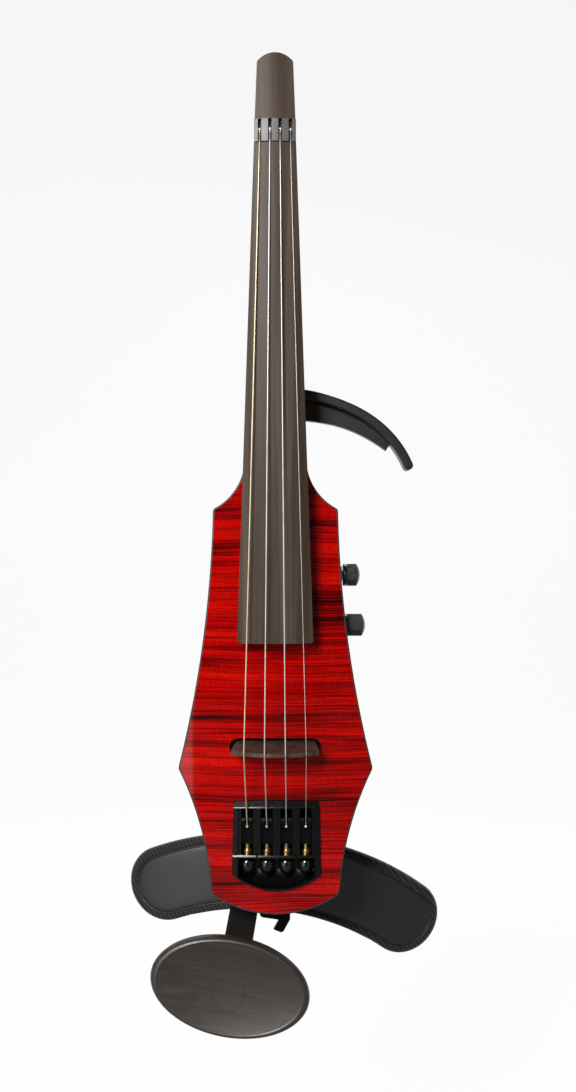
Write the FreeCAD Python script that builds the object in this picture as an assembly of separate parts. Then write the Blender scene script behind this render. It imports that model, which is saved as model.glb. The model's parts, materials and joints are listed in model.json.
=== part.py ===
import FreeCAD, Part
import math
import os

# Headless four-string electric violin, full size, in millimetres.
# +Z runs along the strings towards the head, the front faces -Y, +X is the
# treble side. The origin is on the flat back, behind the bridge line.

V = FreeCAD.Vector

# ---- driving dimensions ----
STRING_LENGTH = 330.0      # nut edge to bridge
CORE_DEPTH = 24.0          # solid body without its top
CROWN = 30.0               # back to the highest line of the top
TOP_RADIUS = 450.0         # cross arch of the top
BINDING = 0.8
BACK_ROUND = 2.5

# outline of the top inside its binding, (x, z) on the treble side
TOP_SHOULDER = (34.2, 132.6)
TOP_FLANK = (39.8, 60.0)
TOP_WAIST = (53.7, -12.0)
TOP_HIP = (40.8, -46.0)
TOP_TAIL = (35.2, -81.8)
TOP_NECK = (17.0, 155.2)
TOP_BOUT = (25.4, 139.1)
TAIL_Z = -93.0
NECK_JOINT_Z = TOP_NECK[1] + BINDING
TENON_HW = 14.5
TENON_FLOOR = -12.0
TENON_END_Z = 112.0

POCKET = (-25.5, 20.0, -99.0, -62.0)    # tail recess: x low, x high, z low, z high

ARCH = 42.0                # cross radius of board, nut and head cap
BOARD_END_Z = 59.4
BOARD_HW_NUT = 11.4
BOARD_HW_END = 20.9
CREST_NUT = -51.0          # board crest at the nut
CREST_END = -47.0          # board crest at its free end
UNDER_NUT = -45.0          # underside of the board at the nut
UNDER_END = -37.0
NUT_LENGTH = 12.5
NUT_SLOT_W = 1.9
NUT_SLOT_DEPTH = 3.0
HEAD_TOP_Z = 377.8
HEAD_ARC = 4.4
NECK_END_Z = 370.8         # the head cap wraps round the end of the neck

STRINGS = ("g", "d", "a", "e")
STRING_DIA = {"g": 0.82, "d": 0.74, "a": 0.66, "e": 0.34}
BRIDGE_SPREAD = 33.7
NUT_SPREAD = 16.6
LANE_SPREAD = 32.7
LANE_SHIFT = 0.6
BRIDGE_CREST = -52.7
BRIDGE_ARCH = 41.5
BRIDGE_HW = 24.0
SLOT_HW = 25.7
SLOT_TOP_Z = 5.2
SLOT_LOW_Z = -5.0
SLOT_FLOOR = -17.0

HOUSING_HW = 23.6
HOUSING_LOW_HW = 24.6
HOUSING_X = 0.5
HOUSING_RIM = 2.2
HOUSING_TOP_Z = -29.3
HOUSING_CORNER_Z = -70.5
HOUSING_LOW_Z = -79.0
HOUSING_CREST = -33.0
HOUSING_ARCH = 190.0
HOUSING_FLOOR = -10.0
GLINT = 21.0               # degrees that the narrow edge facets slope
BEVEL_Z = -33.0            # lower end of the top bevel
BEVEL = 30.0
CHANNEL_W = 6.7
CHANNEL_TOP_Z = -33.2
CHANNEL_LOW_Z = -59.4
CHANNEL_FLOOR = -19.0
BAY_TOP_Z = -61.0          # knob bay below the channels
SCREW_Y = -25.0
SCREW_DIA = 3.0
RUN = 0.05                 # radial clearance of a running fit
HOOK_Z = -40.4
HOOK_Y = -29.6
TUNER_KNOB_DIA = 8.7
TUNER_KNOB_Z = (-61.7, -72.4)

KNOB_DIA = 12.6
KNOB_Y = -14.5
VOLUME_Z = 96.0
TONE_Z = 67.4
KNOB_START_X = 38.3
CAVITY = (-24.0, 31.5, 50.0, 107.0)    # x low, x high, z low, z high
CAVITY_FLOOR = -21.0
COVER_LIP = 4.0
COVER_T = 2.0

ARM_BACK = -3.0            # rear face of the side arm
ARM_OUTER = [(6.0, 203.4), (19.7, 201.8), (33.8, 198.0), (53.8, 188.7), (69.3, 175.0), (79.4, 157.7)]
ARM_WEB = [(6.0, 186.0), (17.5, 184.9), (33.8, 182.3), (53.8, 174.1), (63.6, 167.6)]
ARM_BAND = 5.5
ARM_TIP_R = 2.4
ARM_ROUND = 1.1

JACK_MOUTH_X = -38.6
JACK_BORE_R = 3.25
JACK_DEPTH = 30.0
JACK_Z = 67.0
JACK_Y = -12.0

POCKET_DEPTH = 4.0
REST_STUD = (2.0, -82.0)   # x, z of the shoulder rest stud
STUD_R = 3.0
REST_TILT = 8.0            # degrees that the shoulder rest leans
REST_FRONT = 26.0
REST_BEND = 230.0
REST_CENTRE = (6.5, -95.0)
END_C = (75.5, -14.0)      # centre of a round wing end, from the rest's centre
END_R = 22.4
UPPER_R = 165.0
UPPER_TOP = 30.0
LOWER_TOP = -16.5
EDGE_BAND = 4.7            # soft border round the rest's stiff plate
LINER_T = 1.8
PLATE_T = 2.2
PAD_T = 13.5
PIN_Y = 21.0
PIN_W = 17.0               # height of the tilt pin above the stud
PIN_R = 2.5
BAR_PIVOT = (-15.7, -85.0)
BAR_LEAN = 11.5
BAR_W = 16.2
BAR_T = 3.0
CHIN_REACH = 48.0          # bar pivot to the screw under the plug
CHIN_CENTRE = (-24.8, -129.5)
CHIN_LONG = 88.6
CHIN_SHORT = 54.7
CHIN_BACK = -31.0
CHIN_THICK = 11.5
PLUG = (-1.1, -4.8)        # centre of the plug from the oval's centre
PLUG_R = 9.25
PLUG_GAP = 0.12


# ---- helpers ----
def line(a, b):
    return Part.LineSegment(V(*a), V(*b)).toShape()


def arc(a, b, c):
    return Part.Arc(V(*a), V(*b), V(*c)).toShape()


def spline(points):
    curve = Part.BSplineCurve()
    curve.interpolate([V(*p) for p in points])
    return curve.toShape()


def prism(wire, direction):
    return Part.Face(wire).extrude(V(*direction))


def polygon_xz(points, y0, y1):
    corners = [V(x, y0, z) for x, z in points]
    return prism(Part.makePolygon(corners + corners[:1]), (0, y1 - y0, 0))


def polygon_yz(points, x0, x1):
    corners = [V(x0, y, z) for y, z in points]
    return prism(Part.makePolygon(corners + corners[:1]), (x1 - x0, 0, 0))


def box(x0, x1, y0, y1, z0, z1):
    corner = V(min(x0, x1), min(y0, y1), min(z0, z1))
    return Part.makeBox(abs(x1 - x0), abs(y1 - y0), abs(z1 - z0), corner)


def rod(radius, a, b):
    start = V(*a)
    run = V(*b) - start
    return Part.makeCylinder(radius, run.Length, start, run)


def tube(r_out, r_in, a, b):
    return rod(r_out, a, b).cut(rod(r_in, a, b))


def fuse(shapes):
    joined = shapes[0]
    for shape in shapes[1:]:
        joined = joined.fuse(shape)
    return joined.removeSplitter()


def edges_along(shape, axis, where=None):
    """Straight edges parallel to an axis, optionally only those near (x, z)."""
    found = []
    for edge in shape.Edges:
        if len(edge.Vertexes) < 2 or edge.Curve.TypeId != "Part::GeomLine":
            continue
        a, b = edge.Vertexes[0].Point, edge.Vertexes[1].Point
        run = b - a
        if abs(abs(run.dot(V(*axis))) - run.Length) > 1e-4:
            continue
        if where and math.hypot(a.x - where[0], a.z - where[1]) > 0.6:
            continue
        found.append(edge)
    return found


def turned_y(shape, degrees, centre):
    copy = shape.copy()
    copy.rotate(V(centre[0], 0, centre[1]), V(0, 1, 0), degrees)
    return copy


def export(name, shape):
    shape.exportStep("parts/%s.step" % name)


def lane_x(index):
    return LANE_SHIFT - LANE_SPREAD / 2 + index * LANE_SPREAD / 3


def bridge_x(index):
    return -BRIDGE_SPREAD / 2 + index * BRIDGE_SPREAD / 3


def nut_x(index):
    return -NUT_SPREAD / 2 + index * NUT_SPREAD / 3


def crest(z):
    """Highest line of the board, nut and head cap."""
    return CREST_NUT + (STRING_LENGTH - z) * (CREST_END - CREST_NUT) / (STRING_LENGTH - BOARD_END_Z)


def under(z):
    """Underside line of the board, which is the neck's glue face."""
    return UNDER_NUT + (STRING_LENGTH - z) * (UNDER_END - UNDER_NUT) / (STRING_LENGTH - BOARD_END_Z)


def arch_rod(lift=0.0):
    """Long cylinder whose front is the arched playing surface."""
    low, high = 20.0, 400.0
    return rod(ARCH, (0, crest(low) - lift + ARCH, low), (0, crest(high) - lift + ARCH, high))


def above_neck():
    """Everything in front of the board's underside plane."""
    return polygon_yz([(under(20), 20), (under(400), 400), (-70, 400), (-70, 20)], -40, 40)


# ---- body ----
def circle_through(a, b, c):
    """Centre and radius of the circle through three (x, z) points."""
    found = arc((a[0], 0, a[1]), (b[0], 0, b[1]), (c[0], 0, c[1])).Curve
    return (found.Center.x, found.Center.z), found.Radius


def circles_meet(c0, r0, c1, r1, near):
    """The meeting point of two circles that is closer to a given point."""
    dx, dz = c1[0] - c0[0], c1[1] - c0[1]
    gap = math.hypot(dx, dz)
    along = (gap * gap + r0 * r0 - r1 * r1) / (2 * gap)
    across = math.sqrt(r0 * r0 - along * along)
    meets = []
    for side in (1, -1):
        meets.append((c0[0] + (along * dx - side * across * dz) / gap,
                      c0[1] + (along * dz + side * across * dx) / gap))
    return min(meets, key=lambda m: math.hypot(m[0] - near[0], m[1] - near[1]))


def toward(start, end, distance):
    dx, dz = end[0] - start[0], end[1] - start[1]
    run = math.hypot(dx, dz)
    return (start[0] + distance * dx / run, start[1] + distance * dz / run)


def halfway(centre, radius, a, b):
    return toward(centre, ((a[0] + b[0]) / 2, (a[1] + b[1]) / 2), radius)


def half_outline(grow):
    """Arcs of the treble side, neck to tail, as (start, middle, end) points.

    Every hollow stretch is an arc centred outside the body, the tail's is
    centred inside, and round corners join them tangentially, so that the
    outline can grow evenly by the width of the binding.
    """
    tail_mirror = (-TOP_TAIL[0], TOP_TAIL[1])
    stretches = [circle_through(TOP_NECK, TOP_BOUT, TOP_SHOULDER) + (-1,),
                 circle_through(TOP_SHOULDER, TOP_FLANK, TOP_WAIST) + (-1,),
                 circle_through(TOP_WAIST, TOP_HIP, TOP_TAIL) + (-1,),
                 circle_through(TOP_TAIL, (0, TAIL_Z + BINDING), tail_mirror) + (1,)]
    corners = [(TOP_SHOULDER, 1.6), (TOP_WAIST, 3.2), (TOP_TAIL, 6.0)]
    centre, radius, bulge = stretches[0]
    edge = radius + bulge * grow
    height = TOP_NECK[1] + grow
    start = (centre[0] - math.sqrt(edge ** 2 - (height - centre[1]) ** 2), height)
    arcs = []
    for k, (corner, round_r) in enumerate(corners):
        (c0, r0, b0), (c1, r1, b1) = stretches[k], stretches[k + 1]
        mid = circles_meet(c0, r0 - b0 * round_r, c1, r1 - b1 * round_r, corner)
        enter = toward(mid, c0, -b0 * (round_r + grow))
        leave = toward(mid, c1, -b1 * (round_r + grow))
        arcs.append((start, halfway(c0, r0 + b0 * grow, start, enter), enter))
        arcs.append((enter, halfway(mid, round_r + grow, enter, leave), leave))
        start = leave
    tail = (0, TAIL_Z + BINDING - grow)
    return arcs, (start, tail, (-start[0], start[1]))


def outline_block(grow):
    right, tail = half_outline(grow)
    left = [tuple((-x, z) for x, z in reversed(points)) for points in reversed(right)]
    edges = [arc(*[(x, 0, z) for x, z in points]) for points in right + [tail] + left]
    neck_x, neck_z = right[0][0]
    edges.append(line((-neck_x, 0, neck_z), (neck_x, 0, neck_z)))
    return prism(Part.Wire(edges), (0, -60, 0))


def front_arch():
    return rod(TOP_RADIUS, (0, TOP_RADIUS - CROWN, -200), (0, TOP_RADIUS - CROWN, 250))


def slot_tool(y0, y1, grow=0.0):
    """Long routed slot with round ends, under the bridge."""
    radius = (SLOT_TOP_Z - SLOT_LOW_Z) / 2 + grow
    mid = (SLOT_TOP_Z + SLOT_LOW_Z) / 2
    reach = SLOT_HW + grow - radius
    ends = [rod(radius, (s * reach, y0, mid), (s * reach, y1, mid)) for s in (1, -1)]
    return fuse([box(-reach, reach, y0, y1, mid - radius, mid + radius)] + ends)


def housing_prism(y0, y1, grow=0.0):
    left, right = HOUSING_X - HOUSING_HW - grow, HOUSING_X + HOUSING_HW + grow
    low_left, low_right = HOUSING_X - HOUSING_LOW_HW - grow, HOUSING_X + HOUSING_LOW_HW + grow
    top = HOUSING_TOP_Z + grow
    corner = HOUSING_CORNER_Z - grow
    low = HOUSING_LOW_Z - grow
    wire = Part.Wire([
        arc((left, y0, top - 0.6), (HOUSING_X, y0, top), (right, y0, top - 0.6)),
        line((right, y0, top - 0.6), (low_right, y0, corner)),
        arc((low_right, y0, corner), (HOUSING_X, y0, low), (low_left, y0, corner)),
        line((low_left, y0, corner), (left, y0, top - 0.6)),
    ])
    block = prism(wire, (0, y1 - y0, 0))
    return block.makeFillet(1.5 + grow, edges_along(block, (0, 1, 0)))


def tail_pocket():
    x0, x1, z0, z1 = POCKET
    return box(x0, x1, -POCKET_DEPTH, 1, z0, z1)


def control_cavity():
    x0, x1, z0, z1 = CAVITY
    block = box(x0, x1, CAVITY_FLOOR, 1, z0, z1)
    return block.makeFillet(3.0, edges_along(block, (0, 1, 0)))


def cover_points():
    x0, x1, z0, z1 = CAVITY
    return [(x0 - 2, z0 - 2), (x1 - 3, z0 - 2), (x0 - 2, z1 - 2), (x1 - 5, z1 + 2)]


def cover_outline(y0, y1, grow=0.0):
    x0, x1, z0, z1 = CAVITY
    block = box(x0 - 5 - grow, x1 + grow, y0, y1, z0 - 5 - grow, z1 + 5 + grow)
    return block.makeFillet(4.0, edges_along(block, (0, 1, 0)))


def tenon_block():
    return box(-TENON_HW, TENON_HW, -40, TENON_FLOOR, TENON_END_Z, 170)


TOP_BLOCK = outline_block(0.0)
BODY = outline_block(BINDING)
ARCHED = front_arch()


def make_body_core():
    core = BODY.common(box(-80, 80, -CORE_DEPTH, 1, -120, 200))
    core = core.makeFillet(BACK_ROUND, [e for e in core.Edges if e.BoundBox.YMin > -0.01])
    core = core.cut(slot_tool(SLOT_FLOOR, -40))
    core = core.cut(housing_prism(HOUSING_FLOOR, -40, 0.25))
    core = core.cut(tenon_block())
    core = core.cut(tail_pocket())
    core = core.cut(control_cavity())
    core = core.cut(cover_outline(-COVER_T - 0.2, 1, 0.25))
    for z in (VOLUME_Z, TONE_Z):
        core = core.cut(rod(3.85, (30, KNOB_Y, z), (44, KNOB_Y, z)))
        core = core.cut(rod(KNOB_DIA / 2 + 1.0, (35.6, KNOB_Y, z), (60, KNOB_Y, z)))
    core = core.cut(rod(6.2, (-60, JACK_Y, JACK_Z), (-20, JACK_Y, JACK_Z)))
    core = core.cut(rod(8.6, (-60, JACK_Y, JACK_Z), (-37.0, JACK_Y, JACK_Z)))
    core = core.cut(rod(2.0, (-9, -19, 3), (-9, -19, 51)))
    for x, z in cover_points():
        core = core.cut(rod(1.0, (x, -9, z), (x, 1, z)))
    for x, z in bracket_points():
        core = core.cut(rod(1.6, (x, -9.5, z), (x, 0, z)))
    return core


def bracket_points():
    return [(15.5, -67.5), (-2.0, -67.5), (14.5, -84.5)]


def make_binding():
    band = BODY.common(box(-80, 80, -40, -CORE_DEPTH, -120, 200)).common(ARCHED)
    return band.cut(TOP_BLOCK).cut(tenon_block())


def make_top():
    top = TOP_BLOCK.common(box(-80, 80, -40, -CORE_DEPTH, -120, 200)).common(ARCHED)
    top = top.cut(slot_tool(-10, -40))
    top = top.cut(housing_prism(-10, -45, 0.25))
    return top.cut(tenon_block())


# ---- neck, board and head ----
def neck_half_width(z):
    t = (STRING_LENGTH - z) / (STRING_LENGTH - BOARD_END_Z)
    return BOARD_HW_NUT + t * (BOARD_HW_END - BOARD_HW_NUT) - 0.4


def neck_section(z):
    """D-shaped cross-section: flat glue face, rounded back, deeper at the heel."""
    hw = min(neck_half_width(z), 15.4)
    face = under(z)
    heel = 29.5 * math.exp(-max(0.0, z - NECK_JOINT_Z - 0.6) / 11.0)
    depth = 13.2 + 1.6 * (STRING_LENGTH - z) / 170.0 + heel * 0.82
    back = [(hw * math.cos(a), face + depth * math.sin(a) ** 0.9)
            for a in [math.pi * k / 8 for k in range(9)]]
    back[0] = (hw, face)
    back[-1] = (-hw, face)
    return Part.Wire([spline([(x, y, z) for x, y in back]),
                      line((-hw, face, z), (hw, face, z))])


def make_neck():
    heel_end = 204.0
    steps = [NECK_JOINT_Z + 0.6 + k * (heel_end - NECK_JOINT_Z - 0.6) / 6 for k in range(7)]
    heel = Part.makeLoft([neck_section(z) for z in steps], True, False)
    straight = Part.makeLoft([neck_section(heel_end), neck_section(NECK_END_Z)], True, True)
    shaft = fuse([heel, straight])
    front = polygon_yz([(under(TENON_END_Z), TENON_END_Z), (under(NECK_JOINT_Z + 3), NECK_JOINT_Z + 3),
                        (TENON_FLOOR, NECK_JOINT_Z + 3), (TENON_FLOOR, TENON_END_Z)],
                       -TENON_HW, TENON_HW)
    neck = fuse([shaft, front])
    return neck.cut(string_pockets(1.7, -1.0))


def board_outline(z0, z1):
    def half(z):
        t = (STRING_LENGTH - z) / (STRING_LENGTH - BOARD_END_Z)
        return BOARD_HW_NUT + t * (BOARD_HW_END - BOARD_HW_NUT)
    return polygon_xz([(-half(z0), z0), (half(z0), z0), (half(z1), z1), (-half(z1), z1)], -60, -20)


def make_fingerboard():
    board = board_outline(BOARD_END_Z, STRING_LENGTH).common(arch_rod()).common(above_neck())
    ends = []
    for side in (1, -1):
        ends += edges_along(board, (0, 1, 0), (side * BOARD_HW_END, BOARD_END_Z))
    return board.makeFillet(1.6, ends)


def string_pockets(radius, z_gap):
    """Round pockets behind the nut's slots that hold the ball ends."""
    z0 = STRING_LENGTH + 4.5
    z1 = STRING_LENGTH + NUT_LENGTH + z_gap
    holes = []
    for i in range(4):
        x = nut_x(i)
        y = crest(z0) + drop(x, ARCH) + 2.4
        holes.append(rod(radius, (x, y, z0), (x, y, z1)))
    return fuse(holes)


def drop(x, radius):
    return radius - math.sqrt(radius * radius - x * x)


def make_nut():
    z0 = STRING_LENGTH + 0.5
    z1 = STRING_LENGTH + NUT_LENGTH
    nut = box(-11.3, 11.3, -60, -40, z0, z1).common(arch_rod(0.35)).common(above_neck())
    half = NUT_SLOT_W / 2
    for i in range(4):
        x = nut_x(i)
        y = crest(z0) + drop(x, ARCH)
        nut = nut.cut(box(x - half, x + half, y - 4, y + NUT_SLOT_DEPTH, z0 - 1, z1 + 1))
    return nut.cut(string_pockets(1.6, -1.0))


def make_head_cap():
    z0 = STRING_LENGTH + NUT_LENGTH + 0.05
    hw0, hw1 = 11.0, 9.8
    shoulder = HEAD_TOP_Z - HEAD_ARC
    wire = Part.Wire([
        line((-hw0, -60, z0), (hw0, -60, z0)),
        line((hw0, -60, z0), (hw1, -60, shoulder)),
        arc((hw1, -60, shoulder), (0, -60, HEAD_TOP_Z), (-hw1, -60, shoulder)),
        line((-hw1, -60, shoulder), (-hw0, -60, z0)),
    ])
    block = prism(wire, (0, 40, 0))
    block = block.makeFillet(1.5, edges_along(block, (0, 1, 0), (hw1, shoulder))
                             + edges_along(block, (0, 1, 0), (-hw1, shoulder)))
    cap = block.common(arch_rod()).common(above_neck())
    tail = block.common(box(-20, 20, -50, -32.5, NECK_END_Z + 0.1, 390))
    return fuse([cap, tail.cut(arch_front_waste())])


def arch_front_waste():
    return box(-40, 40, -80, -20, 300, 400).cut(arch_rod())


# ---- strings, bridge and pickup ----
def string_path(i):
    nut = nut_x(i)
    seat = crest(STRING_LENGTH) + drop(nut, ARCH) - 0.15 - STRING_DIA[STRINGS[i]] / 2
    ball_z = STRING_LENGTH + 7.5
    ball_y = crest(ball_z) + drop(nut, ARCH) + 2.4
    bridge = bridge_x(i)
    top = BRIDGE_CREST + drop(bridge, BRIDGE_ARCH) - 0.1
    return [(nut, ball_y, ball_z), (nut, seat, STRING_LENGTH + 0.2), (bridge, top, 0.0),
            (lane_x(i), HOOK_Y, HOOK_Z - 3.6)]


def make_string(i, grow=0.0):
    radius = STRING_DIA[STRINGS[i]] / 2 + grow
    path = string_path(i)
    pieces = [rod(radius, path[k], path[k + 1]) for k in range(3)]
    pieces += [Part.makeSphere(radius, V(*path[k])) for k in (1, 2)]
    if not grow:
        pieces.append(Part.makeSphere(1.35, V(*path[0])))
        pieces.append(Part.makeSphere(1.35, V(*path[3])))
    return fuse(pieces)


def make_bridge():
    low_hw = 21.3
    foot = SLOT_FLOOR - 3.0
    side_y = BRIDGE_CREST + drop(BRIDGE_HW, BRIDGE_ARCH)
    z0, z1 = -1.1, 3.6
    wire = Part.Wire([
        line((-low_hw, foot, z0), (low_hw, foot, z0)),
        line((low_hw, foot, z0), (BRIDGE_HW, side_y, z0)),
        arc((BRIDGE_HW, side_y, z0), (0, BRIDGE_CREST, z0), (-BRIDGE_HW, side_y, z0)),
        line((-BRIDGE_HW, side_y, z0), (-low_hw, foot, z0)),
    ])
    blank = prism(wire, (0, 0, z1 - z0))
    waste = polygon_yz([(foot, z1), (foot, z1 + 5), (-60, z1 + 5), (-60, 0.55), (BRIDGE_CREST, 0.9)],
                       -40, 40)
    bridge = blank.cut(waste)
    for i in range(4):
        bridge = bridge.cut(make_string(i, 0.03))
    return bridge


def make_pickup():
    return box(-22, 22, SLOT_FLOOR - 3.0, SLOT_FLOOR, -3.4, 3.9)


# ---- tuners ----
def make_housing():
    housing = housing_prism(HOUSING_FLOOR, -45).common(sloping_front(0, BEVEL_Z, 0.0))
    housing = housing.common(sloping_front(0, BEVEL_Z, GLINT))
    housing = housing.common(sloping_front(facet_drop(0.7), BEVEL_Z + 0.7, BEVEL))
    edge = box(-40, 40, -45, -20, BAY_TOP_Z - 1, CHANNEL_LOW_Z)
    housing = housing.cut(edge.cut(sloping_front(0, CHANNEL_LOW_Z - 0.8, GLINT)))
    reach = HOUSING_HW - HOUSING_RIM
    sunk = rod(HOUSING_ARCH - 1.2, (HOUSING_X, HOUSING_CREST + HOUSING_ARCH, -90),
               (HOUSING_X, HOUSING_CREST + HOUSING_ARCH, -20))
    tray = box(HOUSING_X - reach, HOUSING_X + reach, -45, -20, CHANNEL_LOW_Z, CHANNEL_TOP_Z)
    housing = housing.cut(tray.cut(sunk))
    for i in range(4):
        x = lane_x(i)
        half = CHANNEL_W / 2
        housing = housing.cut(box(x - half, x + half, -45, CHANNEL_FLOOR, CHANNEL_LOW_Z, CHANNEL_TOP_Z))
        housing = housing.cut(rod(SCREW_DIA / 2 + RUN, (x, SCREW_Y, -58), (x, SCREW_Y, -72)))
    for i in (0, 2):
        mid = (lane_x(i) + lane_x(i + 1)) / 2
        housing = housing.cut(box(mid - 0.5, mid + 0.5, -45, SCREW_Y - 4.0, BAY_TOP_Z - 1, CHANNEL_LOW_Z + 1))
    return housing.cut(knob_bay()).removeSplitter()


def facet_drop(height):
    return height * math.tan(math.radians(GLINT))


def sloping_front(drop_y, z, degrees):
    """Arched front that leans back above a height z, as a long leaning cylinder."""
    lean = math.radians(degrees)
    ahead = V(0, math.sin(lean), math.cos(lean))
    centre = V(HOUSING_X, HOUSING_CREST + drop_y + HOUSING_ARCH * math.cos(lean),
               z - HOUSING_ARCH * math.sin(lean))
    return Part.makeCylinder(HOUSING_ARCH, 600, centre - ahead * 300, ahead)


def knob_bay():
    """Open bay for the tuner knobs, its floor sweeping up to the lower lip."""
    reach = HOUSING_HW - HOUSING_RIM
    floor = SCREW_Y + TUNER_KNOB_DIA / 2 + 0.6
    wire = Part.Wire([
        line((0, -45, BAY_TOP_Z), (0, floor, BAY_TOP_Z)),
        line((0, floor, BAY_TOP_Z), (0, floor, -70.5)),
        arc((0, floor, -70.5), (0, floor - 2.8, -74.6), (0, -32.4, HOUSING_LOW_Z + 1.2)),
        line((0, -32.4, HOUSING_LOW_Z + 1.2), (0, -45, HOUSING_LOW_Z + 1.2)),
        line((0, -45, HOUSING_LOW_Z + 1.2), (0, -45, BAY_TOP_Z)),
    ])
    bay = prism(wire, (2 * reach, 0, 0))
    bay.translate(V(HOUSING_X - reach, 0, 0))
    return bay.common(housing_prism(HOUSING_FLOOR, -45, -0.8))


def carriage_top(x):
    return HOUSING_CREST + drop(x, HOUSING_ARCH)


def make_carriage(i):
    x = lane_x(i)
    half = CHANNEL_W / 2 - 0.35
    block = box(x - half, x + half, -28.3, CHANNEL_FLOOR - 0.35, -54.0, -38.6)
    fork = box(x - half, x + half, carriage_top(x) - 0.4, -28.0, HOOK_Z - 1.6, -38.6)
    carriage = fuse([block, fork])
    tip, slope_z = carriage_top(x) - 0.4, HOOK_Z + 0.5
    carriage = carriage.cut(polygon_yz([(tip - 1, -38.0), (tip - 1, slope_z), (tip, slope_z),
                                        (tip + facet_drop(-38.0 - slope_z), -38.0)],
                                       x - 5, x + 5))
    carriage = carriage.cut(box(x - 0.95, x + 0.95, -40, SCREW_Y - 3.2, -46.4, -38.0))
    carriage = carriage.cut(box(x - 1.75, x + 1.75, -40, SCREW_Y - 2.6, -46.4, HOOK_Z - 1.6))
    return carriage.cut(rod(SCREW_DIA / 2 + RUN, (x, SCREW_Y, -34), (x, SCREW_Y, -60)))


def make_tuner_screw(i):
    x = lane_x(i)
    shank = rod(SCREW_DIA / 2, (x, SCREW_Y, -40.5), (x, SCREW_Y, -63.0))
    collar = rod(2.7, (x, SCREW_Y, -57.9), (x, SCREW_Y, CHANNEL_LOW_Z + 0.1))
    return fuse([shank, collar])


def make_tuner_knob(i):
    """Domed thumb knob, turned about the screw's axis."""
    x = lane_x(i)
    r = TUNER_KNOB_DIA / 2
    top, low = TUNER_KNOB_Z
    belly = top - 4.6
    profile = Part.Wire([
        line((0, 0, top), (r - 1.95, 0, top)),
        arc((r - 1.95, 0, top), (r - 0.75, 0, top - 1.6), (r, 0, belly)),
        arc((r, 0, belly), (r - 0.79, 0, low + 2.6), (r - 2.75, 0, low)),
        line((r - 2.75, 0, low), (0, 0, low)),
        line((0, 0, low), (0, 0, top)),
    ])
    knob = Part.Face(profile).revolve(V(0, 0, 0), V(0, 0, 1), 360)
    knob.translate(V(x, SCREW_Y, 0))
    return knob.cut(rod(SCREW_DIA / 2, (x, SCREW_Y, top + 1), (x, SCREW_Y, -63.0)))


# ---- controls ----
def knob_end(z):
    return 48.0 if z == VOLUME_Z else 51.0


def make_pots():
    pots = []
    for z in (VOLUME_Z, TONE_Z):
        can = rod(6.2, (22.5, KNOB_Y, z), (CAVITY[1] - 0.2, KNOB_Y, z))
        bush = rod(3.75, (CAVITY[1] - 0.3, KNOB_Y, z), (37.9, KNOB_Y, z))
        pot = fuse([can, bush])
        pots.append(pot.cut(rod(3.0 + RUN, (24.5, KNOB_Y, z), (50, KNOB_Y, z))))
    return Part.makeCompound(pots)


def make_pot_nuts():
    nuts = []
    for z in (VOLUME_Z, TONE_Z):
        corners = [V(35.7, KNOB_Y + 5.6 * math.cos(math.radians(60 * k)),
                     z + 5.6 * math.sin(math.radians(60 * k))) for k in range(6)]
        nut = prism(Part.makePolygon(corners + corners[:1]), (1.9, 0, 0))
        nuts.append(nut.cut(rod(3.76, (35, KNOB_Y, z), (39, KNOB_Y, z))))
    return Part.makeCompound(nuts)


def make_shaft(z):
    return rod(3.0, (24.6, KNOB_Y, z), (knob_end(z) - 2.8, KNOB_Y, z))


def make_knob(z):
    end = knob_end(z)
    body = rod(KNOB_DIA / 2, (KNOB_START_X, KNOB_Y, z), (end - 2.0, KNOB_Y, z))
    ball_r = 10.9
    dome = Part.makeSphere(ball_r, V(end - ball_r, KNOB_Y, z))
    dome = dome.common(rod(KNOB_DIA / 2, (end - 2.0, KNOB_Y, z), (end + 1, KNOB_Y, z)))
    knob = fuse([body, dome])
    knob = knob.cut(rod(4.1, (KNOB_START_X - 1, KNOB_Y, z), (KNOB_START_X + 0.6, KNOB_Y, z)))
    return knob.cut(rod(3.0, (KNOB_START_X, KNOB_Y, z), (end - 2.8, KNOB_Y, z)))


def make_board():
    x0, y0 = -6.0, CAVITY_FLOOR
    base = box(x0, x0 + 24, y0, y0 + 1.6, 54, 102)
    parts = [base]
    for k in range(3):
        parts.append(rod(2.4, (x0 + 5, y0 + 1.5, 62 + 13 * k), (x0 + 5, y0 + 7, 62 + 13 * k)))
        parts.append(box(x0 + 11, x0 + 18, y0 + 1.5, y0 + 3.4, 60 + 13 * k, 65 + 13 * k))
    return fuse(parts)


def make_jack():
    mouth = JACK_MOUTH_X
    body = rod(5.6, (mouth, JACK_Y, JACK_Z), (mouth + JACK_DEPTH + 1.6, JACK_Y, JACK_Z))
    return body.cut(rod(JACK_BORE_R, (mouth - 1, JACK_Y, JACK_Z), (mouth + JACK_DEPTH, JACK_Y, JACK_Z)))


def make_jack_nut():
    ring = tube(8.2, 5.62, (-39.0, JACK_Y, JACK_Z), (-37.05, JACK_Y, JACK_Z))
    return ring.common(BODY)


def make_cover():
    cover = cover_outline(-COVER_T - 0.2, -0.2)
    for x, z in cover_points():
        cover = cover.cut(rod(1.3, (x, -5, z), (x, 1, z)))
        cover = cover.cut(Part.makeCone(1.3, 2.7, 1.5, V(x, -1.7, z), V(0, 1, 0)))
    return cover


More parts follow.
